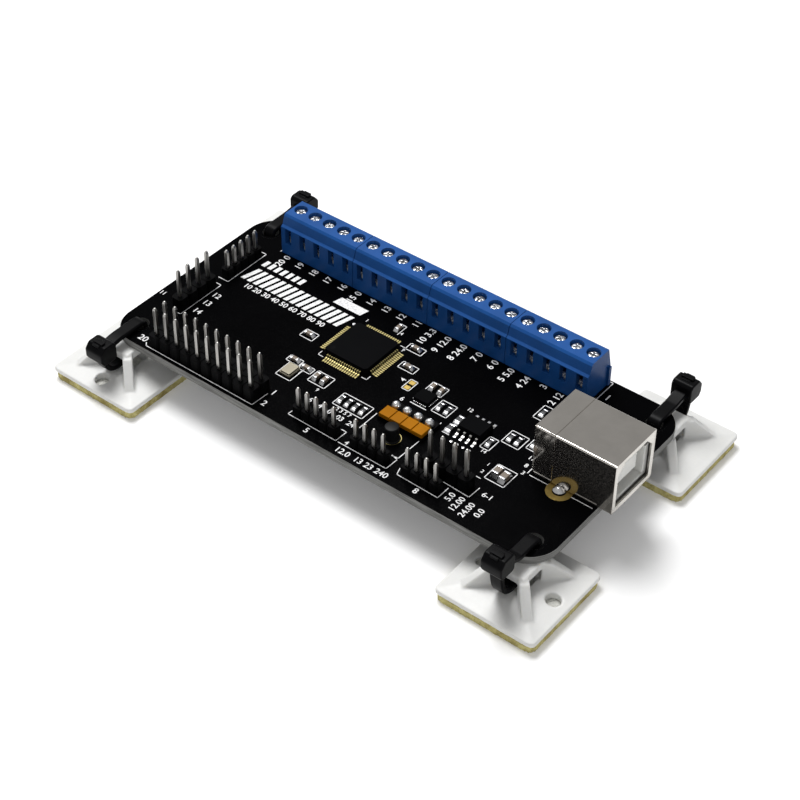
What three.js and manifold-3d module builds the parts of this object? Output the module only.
// Microcontroller dev board with a row of screw terminals and a type-B USB receptacle, held above the
// surface it is stuck to by four adhesive cable-tie mounts. Millimetres, +Z up. The origin is the middle
// of the board's plan, on the surface that the foam pads stick to. +X runs along the board to the USB
// receptacle, +Y to the screw terminals.
import * as THREE from "three";
import { mergeVertices } from "three/addons/utils/BufferGeometryUtils.js";
import Module from "manifold-3d";

const wasm = await Module();
wasm.setup();

// ---- Driving dimensions ----
const BOARD = { length: 97, width: 46, thick: 1.6, corner: 6 };
const FOAM_THICK = 1.5;
const MOUNT = { size: 20, corner: 1.0, height: 6.0, edge: 1.0, crown: 1.7, table: 6.4, tableThick: 1.7 };
const LEG = { inner: 3.6, foot: 10.6, shoulder: 9.2, top: 5.2, wide: 1.8 };
const WINDOW_HALF = 2.5;
const BASE_SCREW = { radius: 1.4, out: 7 };
const MOUNT_AT = { x: 44.5, y: 22 };
const TIE = { width: 2.5, thick: 1, holeRadius: 1.7, holeY: 18.2, loopY: 17.9 };
const TIE_HEAD = { y: 28.4, high: 3.9, deep: 3.9, wide: 4.2, tail: 0.4 };
const TIE_LIFT = { front_left: 0.1, front_right: 3.2, back_left: 1.2, back_right: 1.5 };
const POLES = 20;
const POLES_PER_HOUSING = 5;
const POLE_PITCH = 3.55;
const TERMINAL = { x: -3.1, front: 14.75, back: 22.3, height: 8.5, joint: 0.06, ledge: 6.1, heel: 3.6 };
const SCREW = { y: 18.8, headRadius: 1.12, wellRadius: 1.35, shankRadius: 0.8, bottom: 3.9, sides: 12 };
const SCREW_HEAD = { bottom: 6.7, top: 8.0, slotLong: 1.8, slotWide: 0.4, slotDeep: 0.6 };
const USB = { front: 51.2, length: 16.2, width: 12.04, height: 10.9, y: 0.5, sheet: 0.4 };
const PIN = 0.64;
const PIN_TAIL = 1.4;
const WIDE_PITCH = { pitch: 2.54, body: 2.54, pin: 6 };
const NARROW_PITCH = { pitch: 2, body: 2, pin: 4.1 };

// ---- Levels worked out from them ----
const BOARD_BOTTOM = FOAM_THICK + MOUNT.height;
const BOARD_TOP = BOARD_BOTTOM + BOARD.thick;

// ---- Materials ----
const look = (color, roughness, metalness = 0) =>
  new THREE.MeshStandardMaterial({ color, roughness, metalness });
const MASK = look(0x0c0c0e, 0.35);
const BLUE = look(0x1b4f96, 0.4);
const ZINC = look(0xb9bcc0, 0.3, 1);
const TIN = look(0xc3beb6, 0.28, 1);
const IVORY = look(0xe9e9e6, 0.5);
const BLACK = look(0x141416, 0.5);
const CHIP = look(0x1d1d20, 0.6);
const AMBER = look(0xe0a012, 0.4);
const NYLON = look(0xeeeeec, 0.45);
const FOAM = look(0xb3ad62, 0.95);

// ---- Solids ----
const board = new THREE.Group();

function solid(geometry) {
  const g = geometry.clone();
  g.deleteAttribute("normal");
  g.deleteAttribute("uv");
  const merged = mergeVertices(g, 1e-4);
  return new wasm.Manifold(
    new wasm.Mesh({
      numProp: 3,
      vertProperties: merged.attributes.position.array,
      triVerts: new Uint32Array(merged.index.array),
    }),
  );
}

function piece(name, shape, material) {
  const m = shape.getMesh();
  const g = new THREE.BufferGeometry();
  g.setAttribute("position", new THREE.BufferAttribute(new Float32Array(m.vertProperties), 3));
  g.setIndex(new THREE.BufferAttribute(new Uint32Array(m.triVerts), 1));
  g.computeVertexNormals();
  const mesh = new THREE.Mesh(g, material);
  mesh.name = name;
  board.add(mesh);
}

const joined = (shapes) => shapes.reduce((a, b) => a.add(b));
const minus = (shape, cuts) => cuts.reduce((a, b) => a.subtract(b), shape);

function box(x0, x1, y0, y1, z0, z1) {
  const g = new THREE.BoxGeometry(x1 - x0, y1 - y0, z1 - z0);
  return solid(g.translate((x0 + x1) / 2, (y0 + y1) / 2, (z0 + z1) / 2));
}

function post(radius, x, y, z0, z1, sides = 16) {
  const g = new THREE.CylinderGeometry(radius, radius, z1 - z0, sides);
  return solid(g.rotateX(Math.PI / 2).translate(x, y, (z0 + z1) / 2));
}

// A block whose upper end is smaller than its lower one, such as a pin's tip or a bevelled plate.
function taper(halfLow, halfHigh, x, y, z0, z1) {
  const r = Math.SQRT2;
  const g = new THREE.CylinderGeometry(halfHigh * r, halfLow * r, z1 - z0, 4, 1, false, Math.PI / 4);
  return solid(g.rotateX(Math.PI / 2).translate(x, y, (z0 + z1) / 2));
}

function roundedOutline(halfX, halfY, radius) {
  const s = new THREE.Shape();
  s.moveTo(-halfX + radius, -halfY);
  s.lineTo(halfX - radius, -halfY);
  s.absarc(halfX - radius, -halfY + radius, radius, -Math.PI / 2, 0);
  s.absarc(halfX - radius, halfY - radius, radius, 0, Math.PI / 2);
  s.absarc(-halfX + radius, halfY - radius, radius, Math.PI / 2, Math.PI);
  s.absarc(-halfX + radius, -halfY + radius, radius, Math.PI, Math.PI * 1.5);
  return s;
}

function slab(outline, z0, z1, segments = 6) {
  const g = new THREE.ExtrudeGeometry(outline, {
    depth: z1 - z0,
    bevelEnabled: false,
    curveSegments: segments,
  });
  return solid(g.translate(0, 0, z0));
}

// A profile given as (y, z) points, extruded along X from x0 to x1.
function bar(points, x0, x1) {
  const s = new THREE.Shape(points.map(([y, z]) => new THREE.Vector2(y, z)));
  const g = new THREE.ExtrudeGeometry(s, { depth: x1 - x0, bevelEnabled: false });
  const toYZ = new THREE.Matrix4().makeBasis(
    new THREE.Vector3(0, 1, 0),
    new THREE.Vector3(0, 0, 1),
    new THREE.Vector3(1, 0, 0),
  );
  return solid(g.applyMatrix4(toYZ).translate(x0, 0, 0));
}

// ---- Pin headers: one moulded strip with square pins through the board ----
const HEADERS = [
  { name: "header_2x10", x: -26.25, y: -19.35, count: 10, rows: 2, along: "x", kind: WIDE_PITCH },
  { name: "header_left_1x4", x: -42.1, y: -6.1, count: 4, rows: 1, along: "y", kind: WIDE_PITCH },
  { name: "header_left_1x5", x: -41.6, y: 6.6, count: 5, rows: 1, along: "y", kind: NARROW_PITCH },
  { name: "header_front_1x5", x: -1.4, y: -18.8, count: 5, rows: 1, along: "x", kind: NARROW_PITCH },
  { name: "header_front_1x4_a", x: 10.5, y: -18.8, count: 4, rows: 1, along: "x", kind: NARROW_PITCH },
  { name: "header_front_1x4_b", x: 21.8, y: -18.9, count: 4, rows: 1, along: "x", kind: NARROW_PITCH },
  { name: "header_inner_1x4", x: 24.5, y: -15.1, count: 4, rows: 1, along: "x", kind: WIDE_PITCH },
];

function pinSpots(h) {
  const spots = [];
  for (let row = 0; row < h.rows; row++)
    for (let i = 0; i < h.count; i++) {
      const a = (i - (h.count - 1) / 2) * h.kind.pitch;
      const b = (row - (h.rows - 1) / 2) * h.kind.pitch;
      spots.push(h.along === "x" ? [h.x + a, h.y + b] : [h.x + b, h.y + a]);
    }
  return spots;
}

function header(h) {
  const { pitch, body, pin } = h.kind;
  const long = h.count * pitch;
  const wide = h.rows * pitch;
  const [lx, ly] = h.along === "x" ? [long, wide] : [wide, long];
  const base = box(h.x - lx / 2, h.x + lx / 2, h.y - ly / 2, h.y + ly / 2, BOARD_TOP, BOARD_TOP + body);
  const nick = pitch * 0.16;
  const nicks = [];
  for (let i = 0; i <= h.count; i++)
    for (const side of [-1, 1]) {
      const a = (i - h.count / 2) * pitch;
      const g = new THREE.BoxGeometry(nick, nick, body + 2).rotateZ(Math.PI / 4);
      const b = (side * wide) / 2;
      const [x, y] = h.along === "x" ? [h.x + a, h.y + b] : [h.x + b, h.y + a];
      nicks.push(solid(g.translate(x, y, BOARD_TOP + body / 2)));
    }
  const half = PIN / 2;
  const tip = BOARD_TOP + body + pin;
  const pins = pinSpots(h).flatMap(([x, y]) => [
    box(x - half, x + half, y - half, y + half, BOARD_BOTTOM - PIN_TAIL, tip - 0.4),
    taper(half, half * 0.45, x, y, tip - 0.4, tip),
  ]);
  piece(h.name, joined([minus(base, nicks), ...pins]), BLACK);
}

// ---- The circuit board, with its holes for pins, ties and the receptacle's legs ----
const CORNERS = [
  { name: "front_left", sx: -1, sy: -1 },
  { name: "front_right", sx: 1, sy: -1 },
  { name: "back_left", sx: -1, sy: 1 },
  { name: "back_right", sx: 1, sy: 1 },
];
const PIN_HOLE = 0.95;
const USB_LEG = { x: 41, spread: 6.02, radius: 1.15 };

function circuitBoard() {
  const plate = slab(
    roundedOutline(BOARD.length / 2, BOARD.width / 2, BOARD.corner),
    BOARD_BOTTOM,
    BOARD_TOP,
    8,
  );
  const half = PIN_HOLE / 2;
  const cuts = [BOARD_BOTTOM - 1, BOARD_TOP + 1];
  const pinHoles = HEADERS.flatMap(pinSpots).map(([x, y]) =>
    box(x - half, x + half, y - half, y + half, ...cuts),
  );
  const tieHoles = CORNERS.map((c) =>
    post(TIE.holeRadius, c.sx * MOUNT_AT.x, c.sy * TIE.holeY, ...cuts, 20),
  );
  const legHoles = [-USB_LEG.spread, USB_LEG.spread].map((out) =>
    post(USB_LEG.radius, USB_LEG.x, USB.y + out, ...cuts, 20),
  );
  piece("pcb", minus(plate, [...pinHoles, ...tieHoles, ...legHoles]), MASK);
}

// ---- Screw terminals ----
const poleX = (i) => TERMINAL.x + (i - (POLES - 1) / 2) * POLE_PITCH;
const CAVITY = { half: 1.25, front: 15.9, z0: 0.9, z1: 5 };
const FRONT_SLOT = { half: 0.7, back: 16.4, z0: 2.6, z1: 6.0 };
const RIB = { deep: 0.7, high: 4.3, out: 0.4, inset: 0.35 };

function terminalHousing(index) {
  const first = index * POLES_PER_HOUSING;
  const x0 = poleX(first) - POLE_PITCH / 2 + TERMINAL.joint;
  const x1 = poleX(first + POLES_PER_HOUSING - 1) + POLE_PITCH / 2 - TERMINAL.joint;
  const { front, back, height } = TERMINAL;
  const z = (h) => BOARD_TOP + h;
  const body = bar(
    [
      [front, z(0)],
      [back, z(0)],
      [back, z(TERMINAL.heel)],
      [back - 1.2, z(height)],
      [front + 1.4, z(height)],
      [front + 1.0, z(height - 0.4)],
      [front + 0.5, z(TERMINAL.ledge + 0.35)],
      [front, z(TERMINAL.ledge)],
    ],
    x0,
    x1,
  );
  const hole = (x, half, y0, y1, level) => box(x - half, x + half, y0, y1, z(level.z0), z(level.z1));
  const cuts = [];
  for (let i = first; i < first + POLES_PER_HOUSING; i++) {
    const x = poleX(i);
    cuts.push(
      post(SCREW.wellRadius, x, SCREW.y, z(SCREW_HEAD.bottom - 0.25), z(height + 1), 14),
      post(SCREW.shankRadius + 0.2, x, SCREW.y, z(CAVITY.z1 - 0.5), z(SCREW_HEAD.bottom), 8),
      hole(x, CAVITY.half, CAVITY.front, back + 1, CAVITY),
      hole(x, FRONT_SLOT.half, front - 1, FRONT_SLOT.back, FRONT_SLOT),
    );
  }
  const parts = [minus(body, cuts)];
  if (index === POLES / POLES_PER_HOUSING - 1)
    parts.push(
      box(x1 - 0.1, x1 + RIB.out, back - RIB.inset - RIB.deep, back - RIB.inset, z(0.2), z(RIB.high)),
    );
  piece("terminal_housing_" + (index + 1), joined(parts), BLUE);
}

function terminalScrew(i) {
  const { headRadius, shankRadius, bottom } = SCREW;
  const head = SCREW_HEAD;
  const profile = [
    [0, bottom],
    [shankRadius, bottom],
    [shankRadius, head.bottom],
    [headRadius, head.bottom],
    [headRadius, head.top],
    [0, head.top],
  ].map(([r, h]) => new THREE.Vector2(r, h));
  const turned = solid(new THREE.LatheGeometry(profile, SCREW.sides).rotateX(Math.PI / 2));
  const slots = [0, Math.PI / 2].map((turn) =>
    solid(
      new THREE.BoxGeometry(head.slotLong, head.slotWide, 2 * head.slotDeep)
        .rotateZ(turn)
        .translate(0, 0, head.top),
    ),
  );
  const angle = Math.PI * ((i * 0.37) % 1);
  const screw = minus(turned, slots).rotate([0, 0, (angle * 180) / Math.PI]);
  piece(
    "terminal_screw_" + String(i + 1).padStart(2, "0"),
    screw.translate([poleX(i), SCREW.y, BOARD_TOP]),
    ZINC,
  );
}

// ---- USB type-B receptacle ----
function usbReceptacle() {
  const x1 = USB.front;
  const x0 = x1 - USB.length;
  const y0 = USB.y - USB.width / 2;
  const y1 = USB.y + USB.width / 2;
  const top = BOARD_TOP + USB.height;
  const t = USB.sheet;
  const shell = minus(box(x0, x1, y0, y1, BOARD_TOP + 0.05, top), [
    box(x0 + t, x1 + 1, y0 + t, y1 - t, BOARD_TOP + 0.75, top - t),
    box(x0 - 1, x0 + 4, y0 + 1.4, y1 - 1.4, BOARD_TOP - 1, top - 3),
  ]);
  const legs = [y0, y1 - t].map((y) =>
    box(USB_LEG.x - 0.75, USB_LEG.x + 0.75, y, y + t, BOARD_BOTTOM - 1.1, BOARD_TOP + 0.6),
  );
  piece("usb_shell", joined([shell, ...legs]), TIN);

  // The moulding: a block that fills the back of the shell, a frame round the opening and the tongue.
  const gap = 0.12;
  const outline = (inset) => {
    const a = USB.width / 2 - t - inset;
    const z0 = BOARD_TOP + 0.75 + inset;
    const z1 = top - t - inset;
    return { a, z0, z1 };
  };
  const o = outline(gap);
  const block = box(x0 + t + gap, x1 - 9.5, USB.y - o.a, USB.y + o.a, o.z0, o.z1);
  const frame = box(x0 + t + gap, x1 - 0.9, USB.y - o.a, USB.y + o.a, o.z0, o.z1);
  const m = { half: 4.3, low: BOARD_TOP + 1.55, high: BOARD_TOP + 9.6, chamfer: 1.6 };
  const mouth = bar(
    [
      [USB.y - m.half, m.low],
      [USB.y + m.half, m.low],
      [USB.y + m.half, m.high - m.chamfer],
      [USB.y + m.half - m.chamfer, m.high],
      [USB.y - m.half + m.chamfer, m.high],
      [USB.y - m.half, m.high - m.chamfer],
    ],
    x1 - 9.5,
    x1 + 1,
  );
  const middle = BOARD_TOP + 5.6;
  const tongue = box(x1 - 10, x1 - 1.4, USB.y - 2.75, USB.y + 2.75, middle - 1.6, middle + 1.6);
  const grooves = [-1, 1].flatMap((row) =>
    [-1, 1].map((side) => {
      const y = USB.y + side * 1.25;
      const z = middle + row * 1.6;
      return box(x1 - 9.6, x1 - 2.2, y - 0.6, y + 0.6, z - 0.3, z + 0.3);
    }),
  );
  piece("usb_insulator", minus(joined([block, minus(frame, [mouth]), tongue]), grooves), IVORY);

  let n = 0;
  for (const row of [-1, 1])
    for (const side of [-1, 1]) {
      n += 1;
      const y = USB.y + side * 1.25;
      const z = middle + row * 1.45;
      piece("usb_contact_" + n, box(x1 - 9.2, x1 - 2.6, y - 0.5, y + 0.5, z - 0.14, z + 0.14), TIN);
    }
}

// ---- Chips ----
// A box about (x, y), its half sizes given, between two heights above the board.
const centred = (x, y, halfX, halfY, z0, z1) =>
  box(x - halfX, x + halfX, y - halfY, y + halfY, BOARD_TOP + z0, BOARD_TOP + z1);

function microcontroller() {
  const c = { x: -7.6, y: 1.3, half: 5, high: 1.35, gap: 0.1 };
  const lead = { pitch: 0.5, count: 16, half: 0.11, reach: 6, z0: 0.02, z1: 0.24 };
  const body = centred(c.x, c.y, c.half, c.half, c.gap, c.high);
  const leads = [];
  for (let i = 0; i < lead.count; i++)
    for (const s of [-1, 1]) {
      const a = (i - (lead.count - 1) / 2) * lead.pitch;
      const [near, far] = [s * (c.half - 0.1), s * lead.reach].sort((p, q) => p - q);
      const mid = (near + far) / 2;
      const long = (far - near) / 2;
      leads.push(
        centred(c.x + mid, c.y + a, long, lead.half, lead.z0, lead.z1),
        centred(c.x + a, c.y + mid, lead.half, long, lead.z0, lead.z1),
      );
    }
  piece("microcontroller", joined([body, ...leads]), CHIP);
}

function soicChip() {
  const c = { x: 21.3, y: -3.1, halfX: 2.5, halfY: 1.95, high: 1.55, reach: 3.05 };
  const lead = { pitch: 1.27, half: 0.2, z0: 0.02, z1: 0.3 };
  const body = centred(c.x, c.y, c.halfX, c.halfY, 0.12, c.high);
  const leads = [];
  for (let i = 0; i < 4; i++)
    for (const s of [-1, 1]) {
      const near = c.halfY - 0.1;
      const y = c.y + (s * (near + c.reach)) / 2;
      const x = c.x + (i - 1.5) * lead.pitch;
      leads.push(centred(x, y, lead.half, (c.reach - near) / 2, lead.z0, lead.z1));
    }
  piece("driver_chip", joined([body, ...leads]), CHIP);
}

function smallParts() {
  piece("small_chip", box(7.9, 11.1, -3.4, -0.4, BOARD_TOP + 0.02, BOARD_TOP + 0.85), CHIP);
  const can = slab(roundedOutline(1.25, 1.6, 0.35), BOARD_TOP + 0.02, BOARD_TOP + 0.8, 4);
  piece("crystal", can.translate([-14.1, -11.2, 0]), TIN);
}

// ---- Four-way DIP switch: black base, amber cover in four fields, four white levers ----
const DIP = { x: 11, pitch: 2.45, front: -11.2, coverBack: -8.5, back: -6, base: 0.7, top: 1.5 };
const LEVER = { radius: 0.85, foot: 0.45, dome: 0.95, behind: 1.05, steps: 3, sides: 12 };

function dipSwitch() {
  const half = 2 * DIP.pitch;
  const z = (h) => BOARD_TOP + h;
  const across = (inset) => [DIP.x - half + inset, DIP.x + half - inset];
  piece("dip_switch_body", box(...across(0), DIP.front, DIP.back, z(0.02), z(DIP.base)), BLACK);
  const cover = box(...across(0.1), DIP.front + 0.1, DIP.coverBack, z(DIP.base), z(DIP.top));
  const seams = [-1, 0, 1].map((i) => {
    const x = DIP.x + i * DIP.pitch;
    return box(x - 0.08, x + 0.08, DIP.front - 1, DIP.coverBack + 1, z(DIP.top - 0.3), z(DIP.top + 1));
  });
  piece("dip_switch_cover", minus(cover, seams), AMBER);
  for (let i = 0; i < 4; i++) {
    const x = DIP.x + (i - 1.5) * DIP.pitch;
    const foot = post(LEVER.radius, x, 0, z(DIP.base + 0.05), z(DIP.base + LEVER.foot), LEVER.sides);
    const profile = [[0, 0]];
    for (let k = 0; k <= LEVER.steps; k++) {
      const a = (k / LEVER.steps) * (Math.PI / 2);
      profile.push([LEVER.radius * Math.cos(a), LEVER.dome * Math.sin(a)]);
    }
    profile[profile.length - 1][0] = 0;
    const dome = new THREE.LatheGeometry(
      profile.map(([r, h]) => new THREE.Vector2(r, h)),
      LEVER.sides,
    ).rotateX(Math.PI / 2);
    const cap = solid(dome.translate(x, 0, z(DIP.base + LEVER.foot)));
    const lever = foot.add(cap).translate([0, DIP.coverBack + LEVER.behind, 0]);
    piece("dip_lever_" + (i + 1), lever, IVORY);
  }
}

// ---- Cable-tie mounts, their foam pads and the ties ----
function tieMount(corner) {
  const m = MOUNT;
  const z0 = FOAM_THICK;
  const top = z0 + m.height;
  const outline = roundedOutline(m.size / 2, m.size / 2, m.corner);
  const plate = slab(outline, z0, z0 + m.edge, 4);
  const crown = taper(m.size / 2 - 0.5, 5.2, 0, 0, z0 + m.edge, z0 + m.crown);
  const t = m.table / 2;
  const table = box(-t, t, -t, t, top - m.tableThick, top);
  const legs = [45, 135, 225, 315].map((deg) => {
    const s = new THREE.Shape([
      new THREE.Vector2(LEG.inner, z0 + 0.2),
      new THREE.Vector2(LEG.foot, z0 + 0.2),
      new THREE.Vector2(LEG.shoulder, z0 + m.crown),
      new THREE.Vector2(LEG.top, top - 0.5),
      new THREE.Vector2(LEG.inner, top - 0.3),
    ]);
    const g = new THREE.ExtrudeGeometry(s, { depth: LEG.wide, bevelEnabled: false });
    return solid(g.translate(0, 0, -LEG.wide / 2).rotateX(Math.PI / 2)).rotate([0, 0, deg]);
  });
  const w = WINDOW_HALF;
  const window = box(-w, w, -w, w, z0 - 1, z0 + m.crown + 1);
  const screwHoles = [-BASE_SCREW.out, BASE_SCREW.out].map((out) => {
    const [x, y] = corner.sx === corner.sy ? [0, out] : [out, 0];
    return post(BASE_SCREW.radius, x, y, 0, z0 + 3, 12);
  });
  const body = minus(joined([plate, crown, table, ...legs]), [window, ...screwHoles]);
  const at = [corner.sx * MOUNT_AT.x, corner.sy * MOUNT_AT.y, 0];
  piece("tie_mount_" + corner.name, body.translate(at), NYLON);
  const pad = slab(roundedOutline(m.size / 2 - 0.05, m.size / 2 - 0.05, m.corner), 0, FOAM_THICK - 0.01, 4);
  piece("foam_pad_" + corner.name, pad.translate(at), FOAM);
}

// The outline of a strip of the given thickness along a line of [y, z] points.
function strip(points, thick) {
  const side = (d) =>
    points.map(([y, z], i) => {
      const [py, pz] = points[Math.max(i - 1, 0)];
      const [ny, nz] = points[Math.min(i + 1, points.length - 1)];
      const n = Math.hypot(ny - py, nz - pz);
      return [y + ((nz - pz) / n) * d, z - ((ny - py) / n) * d];
    });
  return [...side(thick / 2), ...side(-thick / 2).reverse()];
}

function cableTie(corner) {
  const over = BOARD_TOP + 0.75;
  const under = FOAM_THICK + 2.7;
  const lift = TIE_LIFT[corner.name];
  const head = { y: TIE_HEAD.y, z: BOARD_TOP + lift };
  const inner = TIE.loopY;
  const path = new THREE.Path();
  path.moveTo(head.y, head.z - 1);
  path.lineTo(head.y, head.z - 2.2);
  path.quadraticCurveTo(head.y - 0.2, under, 25.2, under);
  path.lineTo(inner + 2, under);
  path.quadraticCurveTo(inner, under, inner, 6.2);
  path.lineTo(inner, BOARD_TOP - 0.4);
  path.quadraticCurveTo(inner, over, inner + 1.3, over);
  path.lineTo(23.4, over);
  path.quadraticCurveTo(25.6, over + 0.2 * lift, head.y - 1, head.z);
  const line = path
    .getPoints(5)
    .map((p) => [p.x, p.y])
    .filter((p, i, all) => i === 0 || Math.hypot(p[0] - all[i - 1][0], p[1] - all[i - 1][1]) > 0.05);
  const strap = bar(strip(line, TIE.thick), -TIE.width / 2, TIE.width / 2);
  const h = TIE_HEAD.high / 2;
  const w = TIE_HEAD.deep / 2;
  const block = bar(
    [
      [head.y - w, head.z - h + 0.4],
      [head.y - w + 0.6, head.z - h],
      [head.y + w - 0.6, head.z - h],
      [head.y + w, head.z - h + 1],
      [head.y + w, head.z + h - 1.2],
      [head.y + w - 1, head.z + h],
      [head.y - w + 0.6, head.z + h],
      [head.y - w, head.z + h - 0.6],
    ],
    -TIE_HEAD.wide / 2,
    TIE_HEAD.wide / 2,
  );
  const half = TIE.width / 2;
  const end = head.z + h;
  const tail = box(-half, half, head.y - 0.2, head.y + 0.8, end - 0.3, end + TIE_HEAD.tail);
  const tie = joined([strap, block, tail]).rotate([0, 0, corner.sy < 0 ? 180 : 0]);
  piece("cable_tie_" + corner.name, tie.translate([corner.sx * MOUNT_AT.x, 0, 0]), BLACK);
}

circuitBoard();
HEADERS.forEach(header);
for (let i = 0; i < POLES / POLES_PER_HOUSING; i++) terminalHousing(i);
for (let i = 0; i < POLES; i++) terminalScrew(i);
usbReceptacle();
microcontroller();
soicChip();
smallParts();
dipSwitch();
CORNERS.forEach(tieMount);
CORNERS.forEach(cableTie);

export default board;
